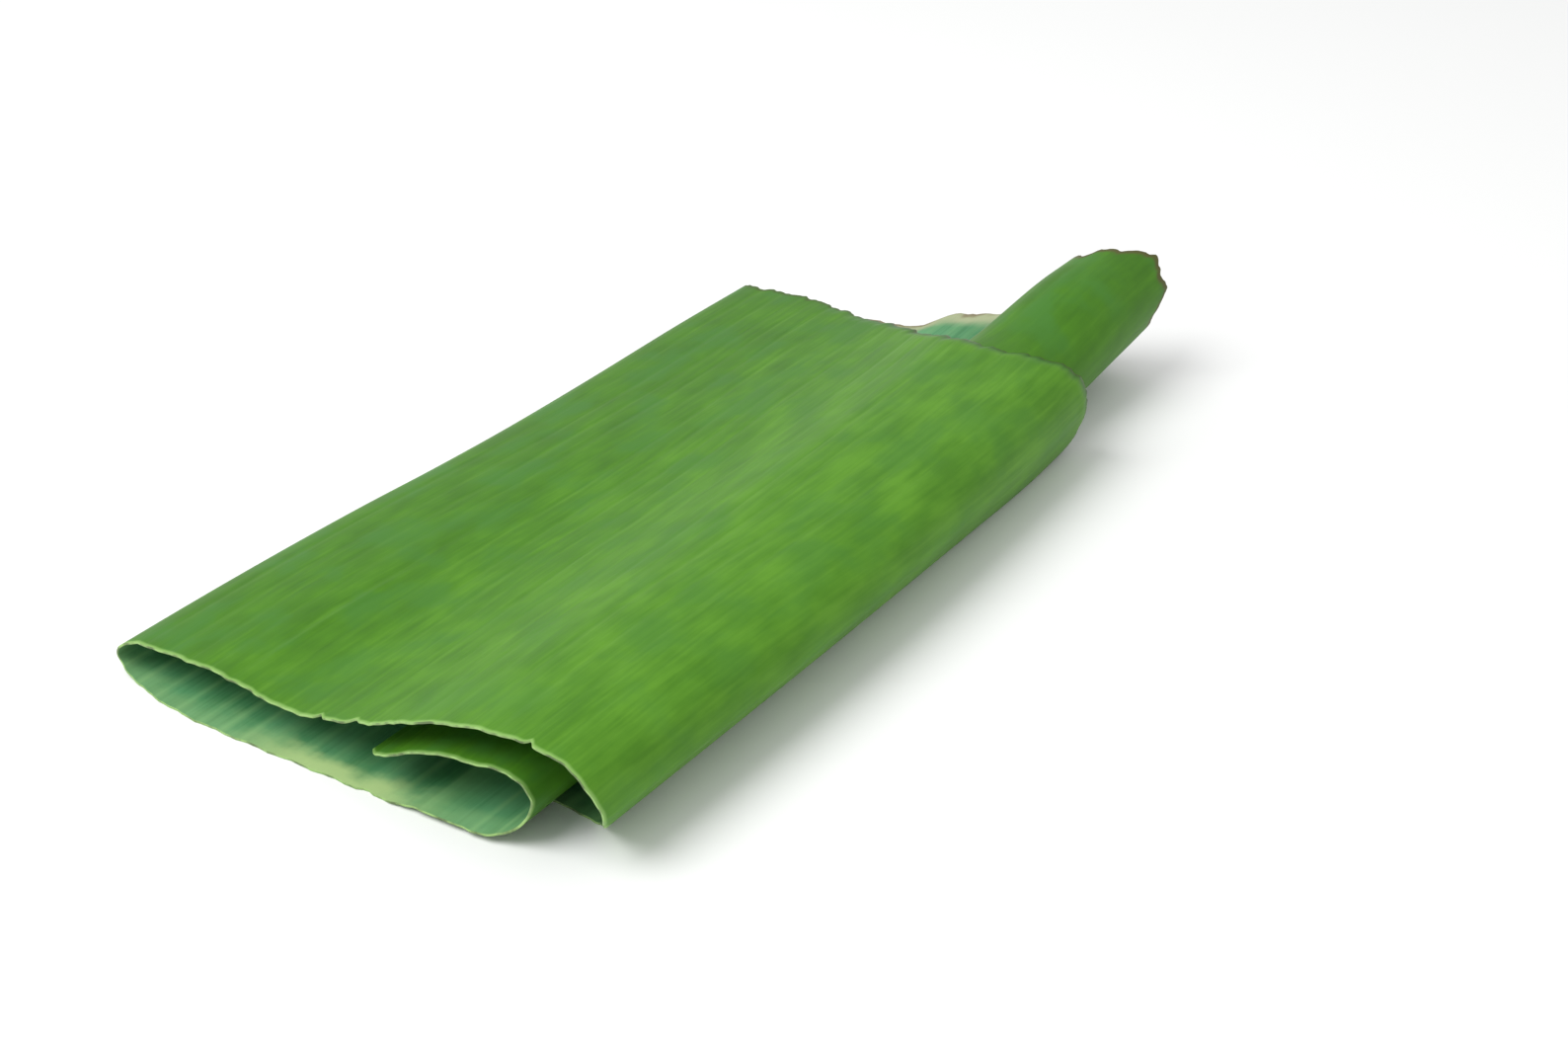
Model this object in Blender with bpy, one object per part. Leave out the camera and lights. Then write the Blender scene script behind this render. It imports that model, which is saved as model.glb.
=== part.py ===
"""A banana leaf blade cut off its midrib and folded up: a loose roll lies in a flat wrap and sticks out at its far end.

The whole leaf is one thin closed body. Its shape is a section across the veins, which changes from the cut end in
front to the leaf's own margin behind. X runs across the packet, Y along the veins, and the leaf lies on Z = 0.
"""

import bmesh
import bpy
import numpy as np

MM = 0.001

# Blade
BLADE = 0.8 * MM
LAYER_GAP = 0.5 * MM

# Furrows along the veins, on the wrap, by their run along the section
VEIN_PITCH = 8.0 * MM
VEIN_START = 30.0 * MM
VEIN_COUNT = 23
VEIN_DRIFT = 0.9 * MM
FURROW_DEPTH = 0.35 * MM
FURROW_HALF_WIDTH = 1.5 * MM
FURROWS_FADE_IN = 18 * MM
FURROWS_FADE_OUT = 176 * MM
FURROW_FADE = 14 * MM

# Places along the veins, measured from the cut end
PACKET_LENGTH = 230 * MM
FIRST_STATION = -10 * MM
LAST_STATION = 320 * MM
STATION_STEP = 5 * MM
MARGIN_STATION = 300 * MM

# Places across the packet, at the cut end and where the wrap ends
TUCK_DEPTH = 36 * MM
TUCK_PARTS = (0.25, 0.6, 1.0)
RAMP_LENGTH = 13 * MM
FLAT_START = 12 * MM
FOOT_ACROSS = (139 * MM, 146 * MM)
BULGE_ACROSS = (154 * MM, 154.5 * MM)
BULGE_UP = (17.5 * MM, 19 * MM)
MIDWAY_BULGE = (3.5 * MM, 1.0 * MM)
HEEL_FULLNESS = 0.35
TURN_POINTS = 9

# How far the left fold lies inwards, as (along, across), and how wide a strip of the top goes with it
LEFT_FOLD_SHIFT = MM * np.array([
    (-20, 0), (30, 0.2), (60, 0.9), (90, 2.2), (120, 4.2), (150, 5.4), (190, 5.6), (240, 5.2), (290, 6.0), (350, 6.0),
])
LEFT_FOLD_EDGE = 5 * MM
LEFT_FOLD_WIDTH = 60 * MM

# The far right corner and the roll rise off the surface
END_RISE = 12 * MM
END_RISE_FROM = 205 * MM
END_RISE_OVER = 110 * MM
END_RISE_POWER = 1.7
RISE_ACROSS_FROM = 62 * MM
RISE_ACROSS_OVER = 44 * MM

# The roll where it leaves the wrap
ROLL_RADIUS = 17.8 * MM
ROLL_PRESSED_RADIUS = 15.7 * MM
ROLL_ACROSS = 126.6 * MM
ROLL_LEAN_PER_METRE = 0.05
ROLL_TAPER_PER_METRE = 1.7
ROLL_ROUND_FROM = 235 * MM
ROLL_ROUND_OVER = 50 * MM
LAP_ANGLE = 270.0
LAP_OVER = 90.0
MOST_LAPS = 3.0

HALF = BLADE / 2
LIFT = HALF + BLADE + LAYER_GAP

# Wrap from the left fold's underside over the top to the crest, as (across, up), at the cut end and at the far end
WRAP_NEAR = MM * np.array([
    (12.0, 0.4), (4.5, 0.6), (-0.8, 2.3), (-3.0, 5.6), (-1.3, 8.7), (4.2, 11.1), (18.0, 13.1), (34.0, 13.9),
    (50.0, 12.3), (60.0, 12.0), (75.0, 15.2), (87.0, 19.0), (97.0, 23.2), (111.0, 28.3), (123.0, 30.8), (134.0, 31.5),
])
WRAP_FAR = MM * np.array([
    (12.0, 0.4), (4.5, 0.6), (-0.8, 2.1), (-3.0, 5.0), (-1.4, 7.6), (4.0, 9.3), (18.0, 11.0), (34.0, 12.6),
    (50.0, 14.6), (63.0, 16.8), (77.0, 19.8), (90.0, 23.6), (101.0, 28.2), (112.0, 32.6), (124.0, 34.5), (136.0, 34.6),
])

# Roll outline at the cut end, as (across, up), how far round the far roll each point has turned, in degrees, and how
# many columns of points each piece of the outline carries
ROLL_NEAR = MM * np.array([
    (112.0, 1.7), (118.0, 1.7), (123.5, 2.6), (129.2, 5.6), (132.4, 9.8), (133.4, 14.4), (131.0, 18.6), (126.0, 20.0),
    (116.0, 19.3), (104.0, 17.6), (94.0, 13.4), (86.5, 10.0), (84.2, 8.7), (85.6, 7.5), (93.0, 9.9), (102.0, 13.2),
])
ROLL_TURN = (-10, 4, 24, 52, 82, 112, 141, 170, 202, 236, 264, 288, 303, 322, 375, 455)
ROLL_COLUMNS = (2, 2, 2, 2, 3, 3, 3, 3, 3, 2, 2, 2, 2, 4, 5)

# Edges of the blade: run along the section from the left fold, and place along the veins
CUT_EDGE = MM * np.array([
    (-202, 5), (-186, 4.5), (-179, -2), (-150, -2), (-122, -1), (-112, -3.5), (-60, -4.7), (-15, -5), (0, -3),
    (12, 0), (50, 0), (80, -1), (120, -2.4), (165, -2.6), (182, -2.5), (190, 0.5), (198, 6), (206, 12), (214, 16),
    (250, 16),
])
MARGIN = MM * np.array([
    (-240, 300), (-205, 298), (-190, 297), (-181, 296), (-172, 294), (-169, 293.5), (-166, 297), (-163, 299.5),
    (-160, 299.5), (-157, 304.5), (-154, 306.5), (-151, 308.5), (-148, 309), (-145, 306.5), (-142, 308),
    (-139, 306), (-136, 303), (-130, 301), (-122, 303), (-110, 303), (-96, 303.5), (-80, 304.5), (-68, 307),
    (-60, 309), (-53, 309.5), (-50, 307.5), (-46.5, 298), (-42, 294), (-20, 291), (0, 290), (8, 289), (14, 287),
    (18, 281), (22, 278), (30, 275.5), (42, 274.5), (50, 273), (58, 271.3), (66, 268.5), (74, 266), (82, 263.5),
    (90, 260.5), (98, 256), (106, 250), (118, 242), (135, 233.5), (150, 231.5), (165, 234.5), (178, 239),
    (190, 242.5), (205, 246), (245, 246),
])
MARGIN_RAGS = ((0.4 * MM, 11.0 * MM, 0.3), (0.3 * MM, 17.3 * MM, 1.9))

# Mesh
CURVE_STEPS = 12
LEFT_FOLD_COLUMNS = MM * np.array([0, 3, 6, 9, 11.5, 14, 16.5, 19, 22.5])
BOTTOM_COLUMNS = MM * np.array([64, 57, 51, 46.5, 40, 20, 0])
RAMP_COLUMNS = 4
TUCK_COLUMNS = 4
ROWS = 19
EDGE_CROWDING = 0.35
SHARP_ANGLE = 50

# Finish
LEAF_GREEN = (0.115, 0.30, 0.045, 1.0)
LEAF_ROUGHNESS = 0.42


def clear_scene():
    """Remove whatever the scene holds."""
    for thing in list(bpy.data.objects):
        bpy.data.objects.remove(thing, do_unlink=True)


def ease(value):
    """Rise smoothly from 0 to 1 as the value does."""
    value = np.clip(value, 0.0, 1.0)
    return value * value * (3.0 - 2.0 * value)


def mix(first, second, share):
    """Blend two values, points or outlines."""
    return first + (second - first) * share


def smooth_curve(points, steps):
    """Run a centripetal Catmull-Rom curve through the points, with a number of steps between each two."""
    ends = np.vstack([2 * points[0] - points[1], points, 2 * points[-1] - points[-2]])
    knots = np.concatenate([[0.0], np.cumsum(np.sqrt(np.linalg.norm(np.diff(ends, axis=0), axis=1)))])
    pieces = []
    for i in range(1, len(ends) - 2):
        a, b, c, d = knots[i - 1:i + 3]
        t = np.linspace(b, c, steps, endpoint=False)[:, None]
        first = (b - t) / (b - a) * ends[i - 1] + (t - a) / (b - a) * ends[i]
        second = (c - t) / (c - b) * ends[i] + (t - b) / (c - b) * ends[i + 1]
        third = (d - t) / (d - c) * ends[i + 1] + (t - c) / (d - c) * ends[i + 2]
        left = (c - t) / (c - a) * first + (t - a) / (c - a) * second
        right = (d - t) / (d - b) * second + (t - b) / (d - b) * third
        pieces.append((c - t) / (c - b) * left + (t - b) / (c - b) * right)
    return np.vstack(pieces + [ends[-2:-1]])


def along_curve(points, at):
    """Second coordinate of a smooth curve through the points, where its first one has a value."""
    line = smooth_curve(points, CURVE_STEPS)
    return np.interp(at, line[:, 0], line[:, 1])


def foot_across(along):
    """Where the right fold meets the surface."""
    return mix(*FOOT_ACROSS, ease(along / PACKET_LENGTH))


def risen(line, along):
    """Lift a line's right part, as the far right corner and the roll rise off the surface."""
    reach = max(0.0, (along - END_RISE_FROM) / END_RISE_OVER)
    share = ease((line[:, 0] - RISE_ACROSS_FROM) / RISE_ACROSS_OVER)
    return np.column_stack([line[:, 0], line[:, 1] + END_RISE * reach ** END_RISE_POWER * share])


def wrap_line(along):
    """Outer layer of the section: left fold, top, right fold and the tuck under the packet."""
    share = ease(along / PACKET_LENGTH)
    points = mix(WRAP_NEAR, WRAP_FAR, share)
    with_fold = 1.0 - ease((points[:, 0] - LEFT_FOLD_EDGE) / LEFT_FOLD_WIDTH)
    points[:, 0] += along_curve(LEFT_FOLD_SHIFT, along) * with_fold
    crest = points[-1]
    midway = np.sin(np.pi * np.clip(along / PACKET_LENGTH, 0.0, 1.0))
    bulge = mix(*BULGE_ACROSS, share) + MIDWAY_BULGE[0] * midway
    bulge_up = mix(*BULGE_UP, share) + MIDWAY_BULGE[1] * midway
    foot = foot_across(along)
    turn = np.linspace(0.0, np.pi / 2, TURN_POINTS)[1:]
    shoulder = np.column_stack([
        crest[0] + (bulge - crest[0]) * np.sin(turn),
        bulge_up + (crest[1] - bulge_up) * np.cos(turn),
    ])
    full_heel = np.column_stack([
        foot + (bulge - foot) * np.cos(turn),
        HALF + (bulge_up - HALF) * (1.0 - np.sin(turn)),
    ])
    flat_heel = mix(np.array([bulge, bulge_up]), np.array([foot, HALF]), turn[:, None] / turn[-1])
    heel = mix(flat_heel, full_heel, HEEL_FULLNESS)
    tuck = np.array([(foot - TUCK_DEPTH * part, HALF) for part in TUCK_PARTS])
    line = smooth_curve(np.vstack([points, shoulder, heel, tuck]), CURVE_STEPS)
    line[:, 1] = np.maximum(line[:, 1], HALF)
    return risen(line, along)


def roll_line(along):
    """Inner part of the section: the flattened roll at the cut end, which rounds and closes on itself behind."""
    behind = max(0.0, along - PACKET_LENGTH)
    taper = 1.0 - ROLL_TAPER_PER_METRE * behind
    wide = ROLL_RADIUS * taper
    tall = mix(ROLL_PRESSED_RADIUS, ROLL_RADIUS, ease((along - ROLL_ROUND_FROM) / ROLL_ROUND_OVER)) * taper
    centre = ROLL_ACROSS + ROLL_LEAN_PER_METRE * behind
    near = smooth_curve(ROLL_NEAR, CURVE_STEPS)
    place = np.arange(len(near)) / CURVE_STEPS
    turn = np.interp(place, np.arange(len(ROLL_TURN)), ROLL_TURN)
    angle = np.radians(turn)
    inside = (BLADE + LAYER_GAP) * np.clip((turn - LAP_ANGLE) / LAP_OVER, 0.0, MOST_LAPS)
    far = np.column_stack([
        centre + (wide - inside) * np.sin(angle),
        LIFT + tall - (tall - inside) * np.cos(angle),
    ])
    flat = turn < 0
    far[flat, 0] = centre + wide * angle[flat]
    far[flat, 1] = LIFT
    return risen(mix(near, far, ease(along / PACKET_LENGTH)), along)


def roll_columns():
    """Steps along the roll line that carry a column of points, from the free inner edge to the bottom layer."""
    columns = []
    for piece, count in enumerate(ROLL_COLUMNS):
        columns += [piece * CURVE_STEPS + round(i * CURVE_STEPS / count) for i in range(count)]
    columns.append(len(ROLL_COLUMNS) * CURVE_STEPS)
    return columns[::-1]


def bottom_line(along):
    """Bottom layer from the roll to the left fold, which steps down from the tuck to the surface."""
    ramp_top = foot_across(along) - TUCK_DEPTH - LAYER_GAP
    ramp_foot = ramp_top - RAMP_LENGTH
    left = FLAT_START + along_curve(LEFT_FOLD_SHIFT, along)
    across = np.concatenate([np.linspace(ramp_top, ramp_foot, RAMP_COLUMNS + 1), left + BOTTOM_COLUMNS])
    up = mix(HALF, LIFT, ease((across - ramp_foot) / RAMP_LENGTH))
    return risen(np.column_stack([across, up]), along)


def across_normal(line):
    """Unit normals of a line in the section, to its left."""
    tangent = np.gradient(line, axis=0)
    tangent /= np.linalg.norm(tangent, axis=1)[:, None]
    return np.column_stack([-tangent[:, 1], tangent[:, 0]])


def vein_runs():
    """Where the furrows lie along the section, a little unevenly spaced."""
    vein = np.arange(VEIN_COUNT)
    return VEIN_START + VEIN_PITCH * vein + VEIN_DRIFT * np.sin(1.3 * vein)


def wrap_runs(end):
    """Runs of the wrap's columns: the left fold, three to each furrow, and the tuck."""
    furrows = (vein_runs()[:, None] + FURROW_HALF_WIDTH * np.array([-1.0, 0.0, 1.0])).ravel()
    tuck = np.linspace(furrows[-1], end, TUCK_COLUMNS + 1)[1:]
    return np.concatenate([LEFT_FOLD_COLUMNS, furrows, tuck])


def section(along):
    """Points, normals and run of every column at one station, from the inner edge of the roll to the tuck's edge."""
    wrap = wrap_line(along)
    wrap_run = np.concatenate([[0.0], np.cumsum(np.linalg.norm(np.diff(wrap, axis=0), axis=1))])
    run = wrap_runs(wrap_run[-1])
    outer = np.column_stack([np.interp(run, wrap_run, wrap[:, i]) for i in (0, 1)])
    wrap_normal = across_normal(wrap)
    outer_normal = np.column_stack([np.interp(run, wrap_run, wrap_normal[:, i]) for i in (0, 1)])

    roll = roll_line(along)
    chosen = roll_columns()
    bottom = bottom_line(along)[:-1]
    inner = np.vstack([roll[chosen], bottom])
    roll_normal = across_normal(roll)[chosen]
    inner_normal = np.vstack([-roll_normal, across_normal(np.vstack([roll[:1], bottom]))[1:]])
    inner_run = np.linalg.norm(np.diff(np.vstack([inner, outer[:1]]), axis=0), axis=1)
    inner_run = -np.cumsum(inner_run[::-1])[::-1]

    points = np.vstack([inner, outer])
    normals = np.vstack([inner_normal, outer_normal])
    normals /= np.linalg.norm(normals, axis=1)[:, None]
    return points, normals, np.concatenate([inner_run, run])


def margin_rags(run):
    """Uneven growth of the leaf's own margin."""
    return sum(height * np.sin(2 * np.pi * run / length + phase) for height, length, phase in MARGIN_RAGS)


def furrow_depths(run):
    """Depth of the furrow at each column, which fades out at both folds."""
    on_furrow = np.isclose(run[:, None], vein_runs()[None, :], atol=FURROW_HALF_WIDTH / 2).any(axis=1)
    fade = ease((run - FURROWS_FADE_IN) / FURROW_FADE) * (1.0 - ease((run - FURROWS_FADE_OUT) / FURROW_FADE))
    return FURROW_DEPTH * on_furrow * fade


def blade_grids():
    """The two faces of the blade as grids of points, row by row from the cut end to the margin."""
    stations = np.arange(FIRST_STATION, LAST_STATION + STATION_STEP, STATION_STEP)
    points, normals, runs = map(np.array, zip(*(section(along) for along in stations)))
    count = points.shape[1]
    near_run = runs[np.argmin(np.abs(stations))]
    far_run = runs[np.argmin(np.abs(stations - MARGIN_STATION))]
    start = along_curve(CUT_EDGE, near_run)
    end = along_curve(MARGIN, far_run) + margin_rags(far_run)
    share = np.linspace(0.0, 1.0, ROWS)
    share = share - EDGE_CROWDING * np.sin(2 * np.pi * share) / (2 * np.pi)
    along = start + np.multiply.outer(share, end - start)
    centre = np.empty((ROWS, count, 3))
    normal = np.zeros((ROWS, count, 3))
    for c in range(count):
        centre[:, c, 0] = np.interp(along[:, c], stations, points[:, c, 0])
        centre[:, c, 1] = along[:, c]
        centre[:, c, 2] = np.interp(along[:, c], stations, points[:, c, 1])
        normal[:, c, 0] = np.interp(along[:, c], stations, normals[:, c, 0])
        normal[:, c, 2] = np.interp(along[:, c], stations, normals[:, c, 1])
    normal /= np.linalg.norm(normal, axis=2)[:, :, None]
    centre -= normal * furrow_depths(near_run)[None, :, None]
    return centre + normal * HALF, centre - normal * HALF


def add_blade(name, material):
    """Join the two faces with a rim all round, and stand the leaf on the middle of its box."""
    left_face, right_face = blade_grids()
    rows, columns = left_face.shape[:2]
    both = np.vstack([left_face.reshape(-1, 3), right_face.reshape(-1, 3)])
    low = both.min(axis=0)
    high = both.max(axis=0)
    both -= np.array([(low[0] + high[0]) / 2, (low[1] + high[1]) / 2, low[2]])

    shape = bmesh.new()
    corners = [shape.verts.new(point) for point in both]
    first = np.arange(rows * columns).reshape(rows, columns)
    second = first + rows * columns

    def add_quad(a, b, c, d):
        shape.faces.new((corners[a], corners[b], corners[c]))
        shape.faces.new((corners[a], corners[c], corners[d]))

    for r in range(rows - 1):
        for c in range(columns - 1):
            add_quad(first[r, c], first[r, c + 1], first[r + 1, c + 1], first[r + 1, c])
            shape.faces.new([corners[i] for i in (second[r, c], second[r + 1, c + 1], second[r, c + 1])])
            shape.faces.new([corners[i] for i in (second[r, c], second[r + 1, c], second[r + 1, c + 1])])
    for c in range(columns - 1):
        add_quad(first[0, c + 1], first[0, c], second[0, c], second[0, c + 1])
        add_quad(first[-1, c], first[-1, c + 1], second[-1, c + 1], second[-1, c])
    for r in range(rows - 1):
        add_quad(first[r, 0], first[r + 1, 0], second[r + 1, 0], second[r, 0])
        add_quad(first[r + 1, -1], first[r, -1], second[r, -1], second[r + 1, -1])
    if shape.calc_volume(signed=True) < 0:
        bmesh.ops.reverse_faces(shape, faces=shape.faces[:])

    mesh = bpy.data.meshes.new(name)
    shape.to_mesh(mesh)
    shape.free()
    mesh.shade_smooth()
    mesh.set_sharp_from_angle(angle=np.radians(SHARP_ANGLE))
    mesh.materials.append(material)
    leaf = bpy.data.objects.new(name, mesh)
    bpy.context.scene.collection.objects.link(leaf)
    return leaf


def leaf_material():
    """Satin mid green of the leaf's upper face."""
    material = bpy.data.materials.new("leaf_green")
    material.use_nodes = True
    shader = material.node_tree.nodes["Principled BSDF"]
    shader.inputs["Base Color"].default_value = LEAF_GREEN
    shader.inputs["Roughness"].default_value = LEAF_ROUGHNESS
    shader.inputs["Metallic"].default_value = 0.0
    return material


clear_scene()
add_blade("banana_leaf", leaf_material())
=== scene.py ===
"""Looks of a folded banana leaf: a fine blade in place of the plain solid, its finishes, and a pale studio."""

import logging
from dataclasses import dataclass, field
from enum import IntEnum
from math import atan, radians

import bpy
import numpy as np
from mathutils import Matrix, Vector


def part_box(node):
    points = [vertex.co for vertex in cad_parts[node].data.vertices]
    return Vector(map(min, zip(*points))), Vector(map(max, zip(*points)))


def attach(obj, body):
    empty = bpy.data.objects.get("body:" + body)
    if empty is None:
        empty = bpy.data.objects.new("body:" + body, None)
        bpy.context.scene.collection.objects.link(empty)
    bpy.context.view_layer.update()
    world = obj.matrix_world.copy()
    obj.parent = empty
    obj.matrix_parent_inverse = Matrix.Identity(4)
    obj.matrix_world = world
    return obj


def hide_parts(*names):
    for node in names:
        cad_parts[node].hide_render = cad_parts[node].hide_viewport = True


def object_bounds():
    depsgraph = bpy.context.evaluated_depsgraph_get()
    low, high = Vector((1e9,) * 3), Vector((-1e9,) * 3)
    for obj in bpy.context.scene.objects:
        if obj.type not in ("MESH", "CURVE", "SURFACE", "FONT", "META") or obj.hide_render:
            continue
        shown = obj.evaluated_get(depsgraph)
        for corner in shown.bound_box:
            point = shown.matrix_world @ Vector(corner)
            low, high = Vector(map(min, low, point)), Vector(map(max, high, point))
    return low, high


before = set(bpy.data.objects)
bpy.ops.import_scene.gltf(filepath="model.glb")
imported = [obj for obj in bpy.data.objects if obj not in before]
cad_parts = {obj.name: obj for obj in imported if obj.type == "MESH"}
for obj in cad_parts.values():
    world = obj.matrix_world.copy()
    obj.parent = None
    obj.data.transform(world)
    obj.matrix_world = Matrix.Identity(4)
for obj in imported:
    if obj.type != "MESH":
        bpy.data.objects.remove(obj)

MM = 0.001
PHOTO_WIDTH = 1588
CAD_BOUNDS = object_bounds()
BLADE_MAP = "blade_place"
EDGE_MAP = "edge_distance"
VEIN_LAYER = "vein_line"
Array = np.ndarray
Colour = tuple[float, float, float]

log = logging.getLogger("banana_leaf")


class BladeZone(IntEnum):
    """Parts of the blade with a finish of their own, numbered as the mesh's material slots."""

    UPPER_FACE = 0
    UNDERSIDE = 1
    CUT_RIM = 2


def ease(value: Array | float) -> Array:
    """Rise smoothly from 0 to 1 as the value does."""
    value = np.clip(value, 0.0, 1.0)
    return value * value * (3.0 - 2.0 * value)


def mix(first: Array | float, second: Array | float, share: Array | float) -> Array | float:
    """Blend two values, points or outlines."""
    return first + (second - first) * share


def millimetres(*points: tuple[float, float]) -> Array:
    """Turn points written in millimetres into an array in metres."""
    return MM * np.array(points, float)


def smooth_curve(points: Array, steps: int) -> Array:
    """Run a centripetal Catmull-Rom curve through points.

    Args:
        points: the points that the curve goes through, one a row.
        steps: how many steps lie between each two of them.

    Returns:
        The points of the curve, one a row.
    """
    ends = np.vstack([2 * points[0] - points[1], points, 2 * points[-1] - points[-2]])
    knots = np.concatenate([[0.0], np.cumsum(np.sqrt(np.linalg.norm(np.diff(ends, axis=0), axis=1)))])
    pieces = []
    for i in range(1, len(ends) - 2):
        a, b, c, d = knots[i - 1:i + 3]
        t = np.linspace(b, c, steps, endpoint=False)[:, None]
        first = (b - t) / (b - a) * ends[i - 1] + (t - a) / (b - a) * ends[i]
        second = (c - t) / (c - b) * ends[i] + (t - b) / (c - b) * ends[i + 1]
        third = (d - t) / (d - c) * ends[i + 1] + (t - c) / (d - c) * ends[i + 2]
        left = (c - t) / (c - a) * first + (t - a) / (c - a) * second
        right = (d - t) / (d - b) * second + (t - b) / (d - b) * third
        pieces.append((c - t) / (c - b) * left + (t - b) / (c - b) * right)
    return np.vstack(pieces + [ends[-2:-1]])


def across_normal(line: Array) -> Array:
    """Unit normals of a line in the section, to its left."""
    tangent = np.gradient(line, axis=0)
    tangent /= np.linalg.norm(tangent, axis=1)[:, None]
    return np.column_stack([-tangent[:, 1], tangent[:, 0]])


def run_along(line: Array) -> Array:
    """Distance along a line from its first point."""
    return np.concatenate([[0.0], np.cumsum(np.linalg.norm(np.diff(line, axis=0), axis=1))])


@dataclass
class FoldedSection:
    """Section of the folded leaf across its veins, and how it changes from the cut end to the margin.

    A place in the section is (across, up). The run is the distance along the blade from the left fold's
    underside: below zero on the bottom layer and the roll, above it on the wrap.
    """

    solid_blade: float = 0.8 * MM
    layer_gap: float = 0.5 * MM
    packet_length: float = 230 * MM
    tuck_depth: float = 36 * MM
    ramp_length: float = 13 * MM
    flat_start: float = 12 * MM
    foot_across: tuple[float, float] = (139 * MM, 146 * MM)
    bulge_across: tuple[float, float] = (154 * MM, 154.5 * MM)
    bulge_up: tuple[float, float] = (17.5 * MM, 19 * MM)
    midway_bulge: tuple[float, float] = (3.5 * MM, 1.0 * MM)
    shoulder_power: float = 0.8
    heel_fullness: float = 0.35
    left_fold_shift: Array = field(default_factory=lambda: millimetres(
        (-20, 0), (30, 0.2), (60, 0.9), (90, 2.2), (120, 4.2), (150, 5.4), (190, 5.6), (240, 5.2), (290, 6.0),
        (350, 6.0)))
    left_fold_width: float = 60 * MM
    end_rise: float = 12 * MM
    end_rise_from: float = 205 * MM
    end_rise_over: float = 110 * MM
    end_rise_power: float = 1.7
    rise_across_from: float = 62 * MM
    rise_across_over: float = 44 * MM
    roll_radius: float = 19.0 * MM
    roll_pressed_radius: float = 15.7 * MM
    roll_across: float = 125.2 * MM
    roll_lean: float = -0.07
    roll_taper_per_metre: float = 2.4
    roll_round_from: float = 235 * MM
    roll_round_over: float = 50 * MM
    lap_angle: float = 270.0
    curve_steps: int = 12
    wrap_near: Array = field(default_factory=lambda: millimetres(
        (12.0, 0.4), (4.5, 0.6), (-0.8, 2.3), (-3.0, 5.6), (-1.3, 8.7), (4.2, 11.1), (18.0, 13.1),
        (34.0, 13.9), (50.0, 12.3), (60.0, 12.0), (75.0, 15.2), (87.0, 19.0), (97.0, 23.2),
        (111.0, 28.3), (123.0, 30.8), (134.0, 31.5)))
    wrap_far: Array = field(default_factory=lambda: millimetres(
        (12.0, 0.4), (4.5, 0.6), (-0.8, 2.1), (-3.0, 5.0), (-1.4, 7.6), (4.0, 9.3), (18.0, 11.0),
        (34.0, 12.6), (50.0, 14.6), (63.0, 16.8), (77.0, 19.8), (90.0, 23.6), (101.0, 28.2),
        (112.0, 32.6), (124.0, 34.5), (136.0, 34.6)))
    roll_near: Array = field(default_factory=lambda: millimetres(
        (112.0, 1.7), (118.0, 1.7), (123.5, 2.6), (129.2, 5.6), (132.4, 9.8), (133.4, 14.4),
        (131.0, 18.6), (126.0, 20.0), (116.0, 19.3), (104.0, 17.6), (94.0, 13.4), (86.5, 10.0),
        (84.2, 8.7), (85.6, 7.5), (93.0, 9.9), (102.0, 13.2)))
    roll_turn: tuple[float, ...] = (
        -10, 4, 24, 52, 82, 112, 141, 170, 202, 236, 264, 288, 303, 322, 375, 455)
    wrap_step: float = 0.8 * MM
    wrap_fixed_to: float = 213 * MM
    tuck_columns: int = 30
    bottom_columns: int = 44
    ramp_columns: int = 12

    @property
    def half(self) -> float:
        """Half the thickness of the solid's blade."""
        return self.solid_blade / 2

    @property
    def lift(self) -> float:
        """Height of the bottom layer's middle where it lies on the tuck."""
        return self.half + self.solid_blade + self.layer_gap

    def foot(self, along: float) -> float:
        """Where the right fold meets the surface."""
        return mix(*self.foot_across, ease(along / self.packet_length))

    def left_shift(self, along: float) -> float:
        """How far the left fold has moved inwards at a place along the veins."""
        curve = smooth_curve(self.left_fold_shift, self.curve_steps)
        return np.interp(along, curve[:, 0], curve[:, 1])

    def risen(self, line: Array, along: float) -> Array:
        """Lift a line's right part, as the packet's far right corner and the roll rise off the surface."""
        rise = self.end_rise * np.clip((along - self.end_rise_from) / self.end_rise_over, 0.0, None) ** self.end_rise_power
        share = ease((line[:, 0] - self.rise_across_from) / self.rise_across_over)
        return np.column_stack([line[:, 0], line[:, 1] + rise * share])

    def wrap_line(self, along: float) -> Array:
        """Left fold, top, right fold and tuck at a place along the veins."""
        share = ease(along / self.packet_length)
        points = mix(self.wrap_near, self.wrap_far, share)
        points[:, 0] += self.left_shift(along) * (1.0 - ease((points[:, 0] - 5 * MM) / self.left_fold_width))
        crest = points[-1]
        midway = np.sin(np.pi * np.clip(along / self.packet_length, 0.0, 1.0))
        bulge = mix(*self.bulge_across, share) + self.midway_bulge[0] * midway
        bulge_up = mix(*self.bulge_up, share) + self.midway_bulge[1] * midway
        foot = self.foot(along)
        turn = np.linspace(0.0, np.pi / 2, 9)[1:]
        shoulder = np.column_stack([
            crest[0] + (bulge - crest[0]) * np.sin(turn) ** self.shoulder_power,
            bulge_up + (crest[1] - bulge_up) * np.clip(np.cos(turn), 0.0, 1.0) ** self.shoulder_power,
        ])
        full_heel = np.column_stack([
            foot + (bulge - foot) * np.cos(turn),
            self.half + (bulge_up - self.half) * (1.0 - np.sin(turn)),
        ])
        flat_heel = mix(np.array([bulge, bulge_up]), np.array([foot, self.half]), turn[:, None] / turn[-1])
        heel = mix(flat_heel, full_heel, self.heel_fullness)
        tuck = np.array([(foot - self.tuck_depth * part, self.half) for part in (0.25, 0.6, 1.0)])
        line = smooth_curve(np.vstack([points, shoulder, heel, tuck]), self.curve_steps)
        line[:, 1] = np.maximum(line[:, 1], self.half)
        return line

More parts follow.
